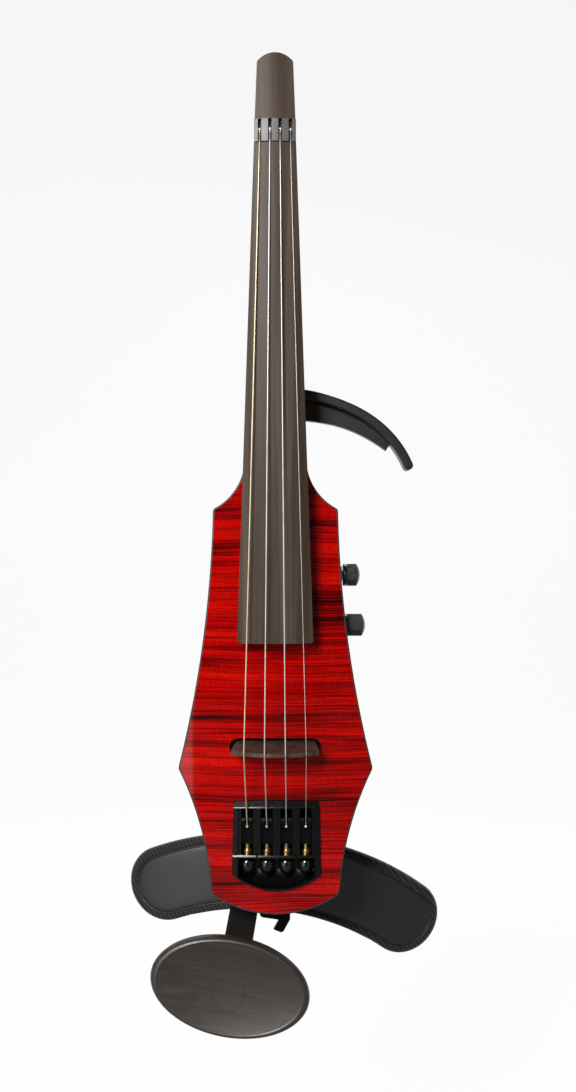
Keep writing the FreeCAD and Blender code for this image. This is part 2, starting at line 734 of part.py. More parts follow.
def countersunk(x, z, y_head, r_head, r_shank, length):
    head = Part.makeCone(r_shank, r_head, 1.4, V(x, y_head - 1.4, z), V(0, 1, 0))
    screw = head.fuse(rod(r_shank, (x, y_head - length, z), (x, y_head - 1.3, z)))
    slot = [box(x - r_head * 0.62, x + r_head * 0.62, y_head - 0.8, y_head + 1, z - 0.28, z + 0.28),
            box(x - 0.28, x + 0.28, y_head - 0.8, y_head + 1, z - r_head * 0.62, z + r_head * 0.62)]
    return screw.cut(slot[0]).cut(slot[1]).removeSplitter()


def make_cover_screws():
    return Part.makeCompound([countersunk(x, z, -0.25, 2.55, 0.95, 8.0) for x, z in cover_points()])


def make_leads():
    pickup = rod(0.9, (-9, -19, 4.2), (-9, -19, 56))
    jack = fuse([rod(0.8, (-12, -19.5, 58), (-12, -19.5, 90)),
                 rod(0.8, (-12, -19.5, 90), (-6.2, -19.5, 94)),
                 Part.makeSphere(0.8, V(-12, -19.5, 90))])
    pots = [rod(0.8, (18.2, -19.6, z), (28, -19.6, z)) for z in (58, 83)]
    return Part.makeCompound([pickup, jack] + pots)


# ---- side arm ----
def offset_curve(points, distance):
    moved = []
    for k, (x, z) in enumerate(points):
        a = points[max(0, k - 1)]
        b = points[min(len(points) - 1, k + 1)]
        dx, dz = b[0] - a[0], b[1] - a[1]
        run = math.hypot(dx, dz)
        moved.append((x + distance * dz / run, z - distance * dx / run))
    return moved


def arm_prism(outer, inner, y0, y1):
    wire = Part.Wire([
        spline([(x, y0, z) for x, z in outer]),
        line((outer[-1][0], y0, outer[-1][1]), (inner[-1][0], y0, inner[-1][1])),
        spline([(x, y0, z) for x, z in reversed(inner)]),
        line((inner[0][0], y0, inner[0][1]), (outer[0][0], y0, outer[0][1])),
    ])
    return prism(wire, (0, y1 - y0, 0))


def make_arm():
    inner_edge = offset_curve(ARM_OUTER, ARM_BAND)
    flange = arm_prism(ARM_OUTER, inner_edge, ARM_BACK, ARM_BACK - 11.0)
    tip = edges_along(flange, (0, 1, 0), ARM_OUTER[-1]) + edges_along(flange, (0, 1, 0), inner_edge[-1])
    flange = flange.makeFillet(ARM_TIP_R, tip)
    front = [e for e in flange.Edges if e.BoundBox.YMax < ARM_BACK - 10.9 and e.BoundBox.XMin > 5.9
             and e.BoundBox.XLength > 0.01]
    flange = flange.makeFillet(ARM_ROUND, front)
    web_high = offset_curve(ARM_OUTER, ARM_BAND / 2)[:-1]
    web = arm_prism(web_high, ARM_WEB, ARM_BACK, ARM_BACK - 5.0)
    pad = box(-11.0, 11.0, -27.0, ARM_BACK, 185.0, 203.0)
    pad = pad.makeFillet(3.0, edges_along(pad, (0, 1, 0)))
    return fuse([flange, web, pad])


def arm_screw_points():
    return [(0.0, 190.0), (0.0, 198.5)]


def make_arm_screws():
    screws = []
    for x, z in arm_screw_points():
        head = rod(3.2, (x, -8.0, z), (x, -5.0, z))
        screw = head.fuse(rod(1.6, (x, -36.0, z), (x, -7.9, z)))
        screw = screw.cut(rod(1.4, (x, -6.6, z), (x, -4.0, z)))
        screws.append(screw)
    return Part.makeCompound(screws)


# ---- tail bracket ----
def make_bracket():
    x0, x1, z0, z1 = POCKET
    plate = box(x0 + 0.4, x1 - 0.4, -POCKET_DEPTH, -0.4, z0, z1 - 0.3)
    plate = plate.makeFillet(2.0, edges_along(plate, (0, 1, 0)))
    plate = plate.common(BODY.common(box(-80, 80, -20, 1, -120, 0)))
    sx, sz = REST_STUD
    boss = rod(4.6, (sx, -0.5, sz), (sx, 6.0, sz))
    px, pz = BAR_PIVOT
    bracket = fuse([plate, boss])
    bracket = bracket.cut(rod(STUD_R, (sx, -5, sz), (sx, 7, sz)))
    bracket = bracket.cut(rod(2.5, (px, -5, pz), (px, 1, pz)))
    for x, z in bracket_points():
        bracket = bracket.cut(rod(1.7, (x, -5, z), (x, 1, z)))
        bracket = bracket.cut(Part.makeCone(1.7, 3.5, 1.6, V(x, -2.0, z), V(0, 1, 0)))
    return bracket


def make_bracket_screws():
    return Part.makeCompound([countersunk(x, z, -0.6, 3.2, 1.5, 8.5) for x, z in bracket_points()])


def make_stud():
    sx, sz = REST_STUD
    stud = rod(STUD_R, (sx, -POCKET_DEPTH + 0.1, sz), (sx, 18.6, sz))
    cap = rod(5.0, (sx, 17.8, sz), (sx, 20.6, sz))
    return fuse([stud, cap])


# ---- chin rest ----
def bar_frame(shape):
    """Place a shape drawn along -Z from the bar's pivot into the leaning bar."""
    placed = shape.copy()
    placed.translate(V(BAR_PIVOT[0], 0, BAR_PIVOT[1]))
    return turned_y(placed, BAR_LEAN, BAR_PIVOT)


def make_chin_bar():
    half = BAR_W / 2
    y0, y1 = 0.5, 0.5 + BAR_T
    knee, foot, tip = -13.0, -37.5, -58.0
    seat = CHIN_BACK + BAR_T
    lean = math.hypot(knee - foot, y0 - CHIN_BACK)
    shift = BAR_T * (lean - (knee - foot)) / (y0 - CHIN_BACK)
    side = [(y0, 8.1), (y1, 8.1), (y1, knee - shift), (seat, foot - shift), (seat, tip),
            (CHIN_BACK, tip), (CHIN_BACK, foot), (y0, knee)]
    bar = polygon_yz(side, -half, half)
    bends = [(y1, knee - shift, 7.0), (y0, knee, 4.0), (seat, foot - shift, 4.0), (CHIN_BACK, foot, 7.0)]
    for y, z, radius in bends:
        corner = [e for e in edges_along(bar, (1, 0, 0))
                  if abs(e.Vertexes[0].Point.y - y) < 0.01 and abs(e.Vertexes[0].Point.z - z) < 0.01]
        bar = bar.makeFillet(radius, corner)
    for z in (8.1, tip):
        ends = [e for e in edges_along(bar, (0, 1, 0)) if abs(e.Vertexes[0].Point.z - z) < 0.01]
        bar = bar.makeFillet(7.0, ends)
    bar = bar.cut(rod(3.0 + RUN, (0, -1, 0), (0, 5, 0)))
    bar = bar.cut(rod(2.55, (0, CHIN_BACK - 1, -CHIN_REACH), (0, CHIN_BACK + 5, -CHIN_REACH)))
    return bar_frame(bar)


def make_chin_pivot():
    """Shouldered button-head screw the bar swings and clamps on."""
    x, z = BAR_PIVOT
    shank = rod(2.5, (x, -POCKET_DEPTH + 0.2, z), (x, 0.2, z))
    shoulder = rod(3.0, (x, -0.35, z), (x, 0.5 + BAR_T + 0.3, z))
    head = rod(5.0, (x, 0.5 + BAR_T + 0.3, z), (x, 5.8, z))
    head = head.makeFillet(0.8, [e for e in head.Edges if e.BoundBox.YMin > 5.7])
    screw = fuse([shank, shoulder, head])
    corners = [V(x + 1.7 * math.cos(math.radians(60 * k)), 4.2,
                 z + 1.7 * math.sin(math.radians(60 * k))) for k in range(6)]
    return screw.cut(prism(Part.makePolygon(corners + corners[:1]), (0, 3, 0)))


def chin_blank():
    """Dished plate turned round, then squeezed to an oval."""
    r = CHIN_LONG / 2
    h = CHIN_THICK
    dish_r = r - 4.6
    lip, rise = 0.35, 4.35
    floor = -h + lip + rise
    profile = Part.Wire([
        line((0, 0, 0), (r - 7.5, 0, 0)),
        arc((r - 7.5, 0, 0), (r - 1.9, -3.0, 0), (r, -7.2, 0)),
        arc((r, -7.2, 0), (r - 0.9, -h + 1.2, 0), (r - 3.2, -h, 0)),
        arc((r - 3.2, -h, 0), (r - 4.0, -h + 0.1, 0), (dish_r, -h + lip, 0)),
        arc((dish_r, -h + lip, 0), (dish_r / 2, floor - rise / 4, 0), (0, floor, 0)),
        line((0, floor, 0), (0, 0, 0)),
    ])
    disc = Part.Face(profile).revolve(V(0, 0, 0), V(0, 1, 0), 360)
    squeeze = FreeCAD.Matrix()
    squeeze.A33 = CHIN_SHORT / CHIN_LONG
    return disc.transformGeometry(squeeze)


def chin_frame(shape):
    placed = shape.copy()
    placed.translate(V(CHIN_CENTRE[0], CHIN_BACK, CHIN_CENTRE[1]))
    return placed


def make_chin_plate():
    blank = chin_blank()
    blank.rotate(V(0, 0, 0), V(0, 1, 0), BAR_LEAN)
    px, pz = PLUG
    plate = blank.cut(rod(PLUG_R, (px, -4.4, pz), (px, -20, pz)))
    sx, sz = chin_screw_at()
    plate = plate.cut(rod(2.55, (sx, -5, sz), (sx, 1, sz)))
    plate = plate.cut(rod(4.8, (sx, -2.0, sz), (sx, -5, sz)))
    plug = blank.common(rod(PLUG_R - PLUG_GAP, (px, -4.4, pz), (px, -20, pz)))
    return chin_frame(plate), chin_frame(plug)


def chin_screw_at():
    """Fixing screw under the plug, from the oval's centre."""
    lean = math.radians(BAR_LEAN)
    return (BAR_PIVOT[0] - CHIN_REACH * math.sin(lean) - CHIN_CENTRE[0],
            BAR_PIVOT[1] - CHIN_REACH * math.cos(lean) - CHIN_CENTRE[1])


def make_chin_screw():
    sx, sz = chin_screw_at()
    head = rod(4.6, (sx, -4.3, sz), (sx, -2.0, sz))
    screw = head.fuse(rod(2.5, (sx, -2.1, sz), (sx, BAR_T + 2.4, sz))).removeSplitter()
    screw = screw.cut(box(sx - 3, sx + 3, -5, -3.5, sz - 0.5, sz + 0.5))
    nut = tube(4.6, 2.5, (sx, BAR_T + 0.02, sz), (sx, BAR_T + 2.4, sz))
    return Part.makeCompound([chin_frame(screw), chin_frame(nut)])


# ---- shoulder rest ----
def lower_radius():
    """Radius of the lower edge that meets both round ends smoothly."""
    cu, cw = END_C
    gap = cw - LOWER_TOP
    return (cu * cu + gap * gap - END_R * END_R) / (2 * (END_R - gap))


def banana(inset, y0, y1):
    """Kidney-shaped block of the shoulder rest, drawn round its centre."""
    cu, cw = END_C
    end_r = END_R - inset
    up_c = UPPER_TOP - UPPER_R
    low_c = LOWER_TOP - lower_radius()
    top = V(0, y0, UPPER_TOP - inset)
    low = V(0, y0, LOWER_TOP + inset)

    def join(centre_w, sign, side):
        dx, dz = side * cu, cw - centre_w
        run = math.hypot(dx, dz)
        return V(side * cu + sign * end_r * dx / run, y0, cw + sign * end_r * dz / run)

    tip = {s: V(s * (cu + end_r), y0, cw) for s in (1, -1)}
    wire = Part.Wire([
        Part.Arc(join(up_c, 1, -1), top, join(up_c, 1, 1)).toShape(),
        Part.Arc(join(up_c, 1, 1), tip[1], join(low_c, -1, 1)).toShape(),
        Part.Arc(join(low_c, -1, 1), low, join(low_c, -1, -1)).toShape(),
        Part.Arc(join(low_c, -1, -1), tip[-1], join(up_c, 1, -1)).toShape(),
    ])
    return prism(wire, (0, y1 - y0, 0))


def bent_slab(front, thick):
    """Layer of the rest, bent back at both wings round one common centre."""
    centre = REST_FRONT + REST_BEND
    radius = centre - front
    outer = rod(radius, (0, centre, -80), (0, centre, 80))
    inner = rod(radius - thick, (0, centre, -80), (0, centre, 80))
    return outer.cut(inner)


def rest_frame(shape):
    placed = shape.copy()
    placed.translate(V(REST_CENTRE[0], 0, REST_CENTRE[1]))
    return turned_y(placed, REST_TILT, REST_CENTRE)


def stud_frame(shape):
    """Place a shape drawn round the stud into the leaning shoulder rest."""
    placed = shape.copy()
    placed.translate(V(REST_STUD[0], 0, REST_STUD[1]))
    return turned_y(placed, REST_TILT, REST_STUD)


def make_rest_plate():
    y0 = REST_FRONT + LINER_T
    plate = rest_frame(banana(EDGE_BAND, y0 - 2, y0 + 60).common(bent_slab(y0, PLATE_T)))
    knuckle = rod(4.6, (-9.2, PIN_Y, PIN_W), (9.2, PIN_Y, PIN_W))
    web = box(-9.2, 9.2, PIN_Y + 2.5, y0 + 1.2, PIN_W - 13.0, PIN_W + 4.0)
    joint = stud_frame(fuse([knuckle, web]).cut(rod(PIN_R + RUN, (-20, PIN_Y, PIN_W), (20, PIN_Y, PIN_W))))
    return plate.fuse(joint).removeSplitter()


def leg_window():
    """Room in the soft parts for the plate's hinge leg."""
    return stud_frame(box(-10.2, 10.2, 10, REST_FRONT + 6.0, PIN_W - 14.0, PIN_W + 9.0))


def make_liner():
    liner = banana(EDGE_BAND, REST_FRONT - 4, REST_FRONT + 60).common(bent_slab(REST_FRONT, LINER_T))
    return rest_frame(liner).cut(leg_window())


def make_pad():
    y0 = REST_FRONT
    full = banana(0, y0 - 4, y0 + 70).common(bent_slab(y0, PAD_T))
    core = banana(EDGE_BAND, y0 - 6, y0 + 70).common(bent_slab(y0 - 1, 1 + LINER_T + PLATE_T))
    return rest_frame(full.cut(core)).cut(leg_window())


def make_carrier():
    plate = box(-8.5, 8.5, 6.3, 12.3, -26.5, 21.0)
    plate = plate.makeFillet(2.5, edges_along(plate, (0, 1, 0)))
    yoke = box(-13.6, 13.6, 6.3, 12.3, 13.0, 21.0)
    ears = []
    for s in (1, -1):
        ear = box(min(s * 9.6, s * 13.6), max(s * 9.6, s * 13.6), 7.0, PIN_Y, PIN_W - 4.0, PIN_W + 4.0)
        ears += [ear, rod(4.0, (s * 9.6, PIN_Y, PIN_W), (s * 13.6, PIN_Y, PIN_W))]
    carrier = fuse([plate, yoke] + ears)
    carrier = carrier.cut(rod(STUD_R + RUN, (0, 0, 0), (0, 14, 0)))
    carrier = carrier.cut(rod(PIN_R, (-20, PIN_Y, PIN_W), (20, PIN_Y, PIN_W)))
    return stud_frame(carrier)


def make_tilt_pin():
    pin = rod(PIN_R, (-13.6, PIN_Y, PIN_W), (13.6, PIN_Y, PIN_W))
    return stud_frame(pin)


def make_lever():
    """Clamp lever on the stud, its thumb tab just below the tail."""
    x, z = REST_STUD
    hub = rod(6.0, (x, 12.9, z), (x, 17.4, z))
    arm = polygon_xz([(x - 3.4, z), (x + 3.4, z), (8.2, -108.5), (2.6, -110.5)], 13.4, 16.9)
    tab = polygon_xz([(8.4, -107.5), (8.2, -111.2), (4.4, -118.0), (2.9, -118.8), (-1.7, -117.0),
                      (2.4, -109.5)], 13.4, 16.9)
    lever = fuse([hub, arm, tab])
    return lever.cut(rod(STUD_R + RUN, (x, 10, z), (x, 20, z)))


# ---- build ----
def main():
    os.makedirs("parts", exist_ok=True)
    neck = make_neck()
    arm_screws = make_arm_screws()
    export("body_core", make_body_core())
    export("top_plate", make_top())
    export("edge_binding", make_binding())
    export("neck", neck.cut(arm_screws))
    export("fingerboard", make_fingerboard())
    export("nut", make_nut())
    export("head_cap", make_head_cap().cut(neck))
    export("bridge", make_bridge())
    export("bridge_pickup", make_pickup())
    export("tuner_housing", make_housing())
    for i, name in enumerate(STRINGS):
        export("string_" + name, make_string(i))
        export("tuner_carriage_" + name, make_carriage(i))
        export("tuner_screw_" + name, make_tuner_screw(i))
        export("tuner_knob_" + name, make_tuner_knob(i))
    export("control_pots", make_pots())
    export("pot_nuts", make_pot_nuts())
    export("volume_shaft", make_shaft(VOLUME_Z))
    export("tone_shaft", make_shaft(TONE_Z))
    export("volume_knob", make_knob(VOLUME_Z))
    export("tone_knob", make_knob(TONE_Z))
    export("circuit_board", make_board())
    export("output_jack", make_jack())
    export("jack_nut", make_jack_nut())
    export("control_cover", make_cover())
    export("cover_screws", make_cover_screws())
    export("wiring", make_leads())
    arm = make_arm().cut(neck)
    for x, z in arm_screw_points():
        arm = arm.cut(rod(3.4, (x, -8.0, z), (x, 5, z)))
        arm = arm.cut(rod(1.6, (x, -40.0, z), (x, -7, z)))
    export("side_arm", arm)
    export("arm_screws", arm_screws)
    export("tail_bracket", make_bracket())
    export("bracket_screws", make_bracket_screws())
    export("rest_stud", make_stud())
    export("chin_bar", make_chin_bar())
    export("chin_pivot_screw", make_chin_pivot())
    plate, plug = make_chin_plate()
    export("chin_plate", plate)
    export("chin_plug", plug)
    export("chin_plate_screw", make_chin_screw())
    export("rest_carrier", make_carrier())
    export("tilt_pin", make_tilt_pin())
    export("clamp_lever", make_lever())
    export("rest_plate", make_rest_plate())
    export("rest_liner", make_liner())
    export("shoulder_pad", make_pad())


main()
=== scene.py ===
import json
import math

import bmesh
import bpy
from mathutils import Matrix, Vector


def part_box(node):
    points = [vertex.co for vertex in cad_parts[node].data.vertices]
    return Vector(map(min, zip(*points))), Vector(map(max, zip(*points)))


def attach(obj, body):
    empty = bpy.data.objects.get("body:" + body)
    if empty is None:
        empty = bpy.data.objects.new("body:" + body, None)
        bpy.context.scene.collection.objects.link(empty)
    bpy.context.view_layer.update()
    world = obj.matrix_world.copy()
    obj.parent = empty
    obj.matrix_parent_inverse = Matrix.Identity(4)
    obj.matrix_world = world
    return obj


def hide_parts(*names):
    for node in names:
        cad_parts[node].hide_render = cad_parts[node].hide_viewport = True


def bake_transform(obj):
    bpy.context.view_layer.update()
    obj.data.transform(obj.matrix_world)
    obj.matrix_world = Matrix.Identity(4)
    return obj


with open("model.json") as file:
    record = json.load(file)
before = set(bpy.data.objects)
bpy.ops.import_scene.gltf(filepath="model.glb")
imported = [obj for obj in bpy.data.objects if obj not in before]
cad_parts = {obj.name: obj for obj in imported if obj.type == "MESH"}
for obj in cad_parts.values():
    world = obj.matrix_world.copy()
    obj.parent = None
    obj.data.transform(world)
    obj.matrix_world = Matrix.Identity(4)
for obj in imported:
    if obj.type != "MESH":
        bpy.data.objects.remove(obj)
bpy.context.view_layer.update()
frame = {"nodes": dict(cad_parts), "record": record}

# Looks of the headless electric violin, in metres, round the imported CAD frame.
# +Z runs along the strings to the head, -Y is the front, +X the treble side.

MM = 0.001
STRINGS = ("g", "d", "a", "e")
STRING_DIA = {"g": 0.82 * MM, "d": 0.74 * MM, "a": 0.66 * MM, "e": 0.34 * MM}
BALL_R = 1.35 * MM
TAIL_BALL_R = 0.9 * MM      # the wound end seen below a tuner's hook
REST_LEAN = math.radians(8.0)
REST_BEND = 230 * MM        # the shoulder rest's bend round the shoulder
WING_R = 22.4 * MM          # round end of a wing of the rest
WING_X = 75.5 * MM
WING_Z = -14.0 * MM
REST_TOP = 30.0 * MM
REST_LOW = -16.5 * MM
REST_TOP_R = 165.0 * MM
REST_HALF = (REST_TOP - REST_LOW) / 2
REST_LONG_STEPS = 70        # outline points on each long side of the rest
REST_END_STEPS = 40         # and round each wing
CROWN_SHARE = 0.35          # further in than this, rings shrink towards the spine
CHIN_LEAN = math.radians(11.5)
KNURLS = 34


def tone(red, green, blue):
    """Linear colour of a shade given in 0-255 display values."""
    def linear(level):
        level = level / 255
        return level / 12.92 if level < 0.04045 else ((level + 0.055) / 1.055) ** 2.4
    return (linear(red), linear(green), linear(blue), 1.0)


# ---- camera, light and backdrop ----
CAMERA_AT = Vector((0.007, -0.622, 0.1125))


def add_camera():
    data = bpy.data.cameras.new("camera")
    data.lens = 35
    data.sensor_width = 36
    camera = bpy.data.objects.new("camera", data)
    camera.location = CAMERA_AT
    camera.rotation_euler = (math.radians(90), 0, 0)
    bpy.context.scene.collection.objects.link(camera)
    bpy.context.scene.camera = camera


def add_light(name, at, target, size, power, colour=(1, 1, 1)):
    data = bpy.data.lights.new(name, "AREA")
    data.shape = "RECTANGLE"
    data.size, data.size_y = size
    data.energy = power
    data.color = colour
    light = bpy.data.objects.new(name, data)
    light.location = at
    light.rotation_euler = (Vector(target) - Vector(at)).to_track_quat("-Z", "Y").to_euler()
    bpy.context.scene.collection.objects.link(light)


def add_studio():
    """Seamless pale floor that curves up into a backdrop, with soft lights; the paper glows by
    itself (painted light), dim grey in front of the violin and bright behind it.
    """
    floor_z, wall_y, sweep, half, top = -0.42, 1.9, 0.6, 3.0, 2.6
    turn = [(wall_y - sweep + sweep * math.sin(a), floor_z + sweep - sweep * math.cos(a))
            for a in [math.pi / 2 * k / 16 for k in range(17)]]
    section = [(-3.0, floor_z)] + turn + [(wall_y, top)]
    mesh = bpy.data.meshes.new("backdrop")
    verts = [(s * half, y, z) for y, z in section for s in (-1, 1)]
    faces = [(2 * k, 2 * k + 1, 2 * k + 3, 2 * k + 2) for k in range(len(section) - 1)]
    mesh.from_pydata(verts, [], faces)
    mesh.shade_smooth()
    backdrop = bpy.data.objects.new("backdrop", mesh)
    bpy.context.scene.collection.objects.link(backdrop)
    self_lit_paper = Finish("self_lit_paper", Roughness=1.0, Emission_Strength=0.87)
    self_lit_paper.shader.inputs["Base Color"].default_value = (0.12, 0.12, 0.12, 1)
    # painted light: the paper's own glow rises from dim grey in front of the violin to full white
    # behind it, whatever the lamps do
    depth = self_lit_paper.add("SeparateXYZ", {0: self_lit_paper.place}).outputs["Y"]
    glow = self_lit_paper.levels(depth, 0.0, 0.35, 0.12, 1.0)
    self_lit_paper.drive(self_lit_paper.add("CombineColor", {0: glow, 1: glow, 2: glow}).outputs[0], "Emission Color")
    mesh.materials.append(self_lit_paper.material)

    world = bpy.data.worlds.new("studio")
    world.use_nodes = True
    world.node_tree.nodes["Background"].inputs["Color"].default_value = (1, 1, 1, 1)
    world.node_tree.nodes["Background"].inputs["Strength"].default_value = 0.07
    bpy.context.scene.world = world
    add_light("key", (-0.45, -1.22, 0.62), (0, 0, 0.08), (0.4, 0.4), 21)
    add_light("side_box", (-0.85, -1.2, 0.0), (0, 0, 0.05), (0.9, 1.2), 6)
    add_light("fill", (0.9, -1.2, 0.3), (0, 0, 0.05), (0.8, 1.2), 0.8)
    add_light("behind", (0.3, 1.2, 1.5), (0, 0, 0.1), (0.9, 0.9), 14)
    bpy.context.scene.view_settings.view_transform = "Standard"


# ---- materials ----
class Finish:
    """A node material, built a step at a time round its Principled shader."""

    def __init__(self, name, **constants):
        self.material = bpy.data.materials.new(name)
        self.material.use_nodes = True
        self.tree = self.material.node_tree
        self.shader = self.tree.nodes["Principled BSDF"]
        for label, value in constants.items():
            self.shader.inputs[label.replace("_", " ")].default_value = value
        self.place = self.add("TexCoord").outputs["Object"]

    def add(self, kind, inputs=None, **settings):
        node = self.tree.nodes.new("ShaderNode" + kind)
        for key, value in settings.items():
            setattr(node, key, value)
        for socket, value in (inputs or {}).items():
            if isinstance(value, bpy.types.NodeSocket):
                self.tree.links.new(value, node.inputs[socket])
            else:
                node.inputs[socket].default_value = value
        return node

    def scaled(self, x, y, z, turn_y=0.0, source=None):
        """Coordinates stretched along each axis, after a turn about Y."""
        vector = source or self.place
        if turn_y:
            vector = self.add("Mapping", {"Vector": vector, "Rotation": (0, turn_y, 0)}).outputs[0]
        return self.add("Mapping", {"Vector": vector, "Scale": (x, y, z)}).outputs[0]

    def noise(self, vector, detail=3.0, roughness=0.5, distortion=0.0):
        node = self.add("TexNoise", {"Vector": vector, "Scale": 1.0, "Detail": detail,
                                     "Roughness": roughness, "Distortion": distortion})
        return node.outputs["Fac"]

    def ramp(self, value, *stops):
        node = self.add("ValToRGB", {"Fac": value})
        marks = node.color_ramp.elements
        while len(marks) < len(stops):
            marks.new(0.5)
        for mark, (place, colour) in zip(marks, stops):
            mark.position = place
            mark.color = colour
        return node.outputs["Color"]

    def levels(self, value, low, high, to_low, to_high):
        return self.add("MapRange", {"Value": value, "From Min": low, "From Max": high,
                                     "To Min": to_low, "To Max": to_high}).outputs["Result"]

    def maths(self, operation, a, b=0.0):
        return self.add("Math", {0: a, 1: b}, operation=operation).outputs[0]

    def mix(self, factor, a, b, blend="MIX"):
        node = self.add("Mix", {0: factor, 6: a, 7: b}, data_type="RGBA", blend_type=blend)
        return node.outputs[2]      # sockets 6, 7 and 2 are the colour ones

    def shade(self, colour, factor):
        """Colour made lighter or darker by a value."""
        grey = self.add("CombineColor", {0: factor, 1: factor, 2: factor}).outputs[0]
        return self.mix(1.0, colour, grey, "MULTIPLY")

    def drive(self, output, label):
        self.tree.links.new(output, self.shader.inputs[label])

    def bump(self, height, depth, strength=1.0):
        node = self.add("Bump", {"Height": height, "Distance": depth, "Strength": strength})
        self.drive(node.outputs["Normal"], "Normal")


def flamed_top():
    """Curly maple stained red: grouped dark cross lines over fine long grain, under gloss."""
    wood = Finish("flamed_top", Roughness=0.6, Specular_IOR_Level=0.0, Coat_Weight=0.6,
                  Coat_Roughness=0.05)
    drift = wood.noise(wood.scaled(10, 0, 8), 2)
    lift = wood.levels(drift, 0, 1, -4.5 * MM, 4.5 * MM)
    wander = wood.add("CombineXYZ", {2: lift}).outputs[0]
    shifted = wood.add("VectorMath", {0: wood.place, 1: wander}, operation="ADD").outputs[0]
    broad = wood.noise(wood.scaled(6, 0, 90, source=shifted), 2.5, 0.55)
    lines = wood.noise(wood.scaled(13, 0, 1250, source=shifted), 2, 0.6)
    colour = wood.ramp(broad, (0.32, tone(84, 0, 0)), (0.40, tone(142, 1, 1)),
                       (0.49, tone(178, 3, 1)), (0.66, tone(200, 12, 2)))
    depth = wood.levels(broad, 0.36, 0.62, 0.92, 0.52)
    dark = wood.levels(lines, 0.40, 0.56, 1.0, 0.0)
    colour = wood.shade(colour, wood.maths("SUBTRACT", 1.0, wood.maths("MULTIPLY", depth, dark)))
    fibre = wood.noise(wood.scaled(1900, 400, 420), 2, 0.6)
    colour = wood.shade(colour, wood.levels(fibre, 0.3, 0.7, 0.68, 1.2))
    wood.drive(colour, "Base Color")
    wood.bump(fibre, 0.015 * MM, 0.25)
    return wood.material


def stained_body():
    wood = Finish("stained_body", Roughness=0.5, Specular_IOR_Level=0.1, Coat_Weight=0.6,
                  Coat_Roughness=0.18)
    bands = wood.noise(wood.scaled(30, 30, 150), 3, 0.6, 0.4)
    colour = wood.ramp(bands, (0.32, tone(44, 3, 4)), (0.52, tone(96, 8, 7)),
                       (0.7, tone(124, 14, 9)))
    grain = wood.noise(wood.scaled(1500, 1500, 30), 3, 0.6)
    colour = wood.shade(colour, wood.levels(grain, 0.3, 0.7, 0.78, 1.1))
    wood.drive(colour, "Base Color")
    wood.bump(grain, 0.03 * MM, 0.4)
    return wood.material


def neck_maple():
    wood = Finish("neck_maple", Roughness=0.5)
    figure = wood.noise(wood.scaled(40, 40, 110), 3, 0.55, 0.3)
    colour = wood.ramp(figure, (0.3, tone(118, 74, 44)), (0.55, tone(156, 104, 62)),
                       (0.75, tone(178, 126, 78)))
    grain = wood.noise(wood.scaled(1400, 1400, 22), 4, 0.65)
    colour = wood.shade(colour, wood.levels(grain, 0.3, 0.7, 0.8, 1.1))
    wood.drive(colour, "Base Color")
    wood.drive(wood.levels(grain, 0.3, 0.7, 0.42, 0.58), "Roughness")
    wood.bump(grain, 0.03 * MM, 0.5)
    return wood.material


def ebony(name="ebony", turn_y=0.0, along="z", contrast=1.0, gloss=0.15, shade=0.96):
    """Dark brown-black ebony with lighter streaks along the grain."""
    wood = Finish(name, Roughness=0.4, Specular_IOR_Level=gloss)
    stretch = (900, 900, 9) if along == "z" else (9, 900, 900)
    broad = (160, 160, 3) if along == "z" else (3, 260, 260)
    streak = wood.noise(wood.scaled(*broad, turn_y=turn_y), 3, 0.55)
    pores = wood.noise(wood.scaled(*stretch, turn_y=turn_y), 4, 0.6)
    brown, spread = (79, 66, 56), 18 * contrast
    colour = wood.ramp(streak, (0.3, tone(*[shade * (c - spread) for c in brown])),
                       (0.52, tone(*[shade * c for c in brown])),
                       (0.72, tone(*[shade * (c + spread) for c in brown])))
    colour = wood.shade(colour, wood.levels(pores, 0.3, 0.7, 1 - 0.24 * contrast,
                                            1 + 0.12 * contrast))
    wood.drive(colour, "Base Color")
    wood.drive(wood.levels(pores, 0.3, 0.7, 0.38, 0.48), "Roughness")
    wood.bump(pores, 0.02 * MM, 0.4)
    return wood.material


def plain(name, shade, roughness, grain=600, variation=0.12, depth=0.02, **constants):
    """A plain surface with slight mottling, and fine texture in its gloss."""
    surface = Finish(name, **constants)
    mottle = surface.noise(surface.scaled(90, 90, 90), 3)
    fine = surface.noise(surface.scaled(grain, grain, grain), 3, 0.6)
    lighter = tuple(c * (1 + variation) for c in shade[:3]) + (1,)
    even = surface.ramp(mottle, (0.3, shade), (0.7, lighter))
    surface.drive(surface.shade(even, surface.levels(fine, 0.3, 0.7, 1 - variation, 1 + variation)),
                  "Base Color")
    surface.drive(surface.levels(fine, 0.3, 0.7, roughness * 0.85, roughness * 1.15), "Roughness")
    surface.bump(fine, depth * MM, 0.5)
    return surface.material


def brushed(name, shade, roughness, along, **constants):
    """Metal with fine scratches along one axis."""
    metal = Finish(name, Metallic=1.0, **constants)
    scale = [2400, 2400, 2400]
    scale["xyz".index(along)] = 40
    scratches = metal.noise(metal.scaled(*scale), 3, 0.6)
    colour = metal.ramp(scratches, (0.3, tuple(c * 0.8 for c in shade[:3]) + (1,)), (0.7, shade))
    metal.drive(colour, "Base Color")
    metal.drive(metal.levels(scratches, 0.3, 0.7, roughness * 0.8, roughness * 1.25), "Roughness")
    metal.bump(scratches, 0.01 * MM, 0.4)
    return metal.material


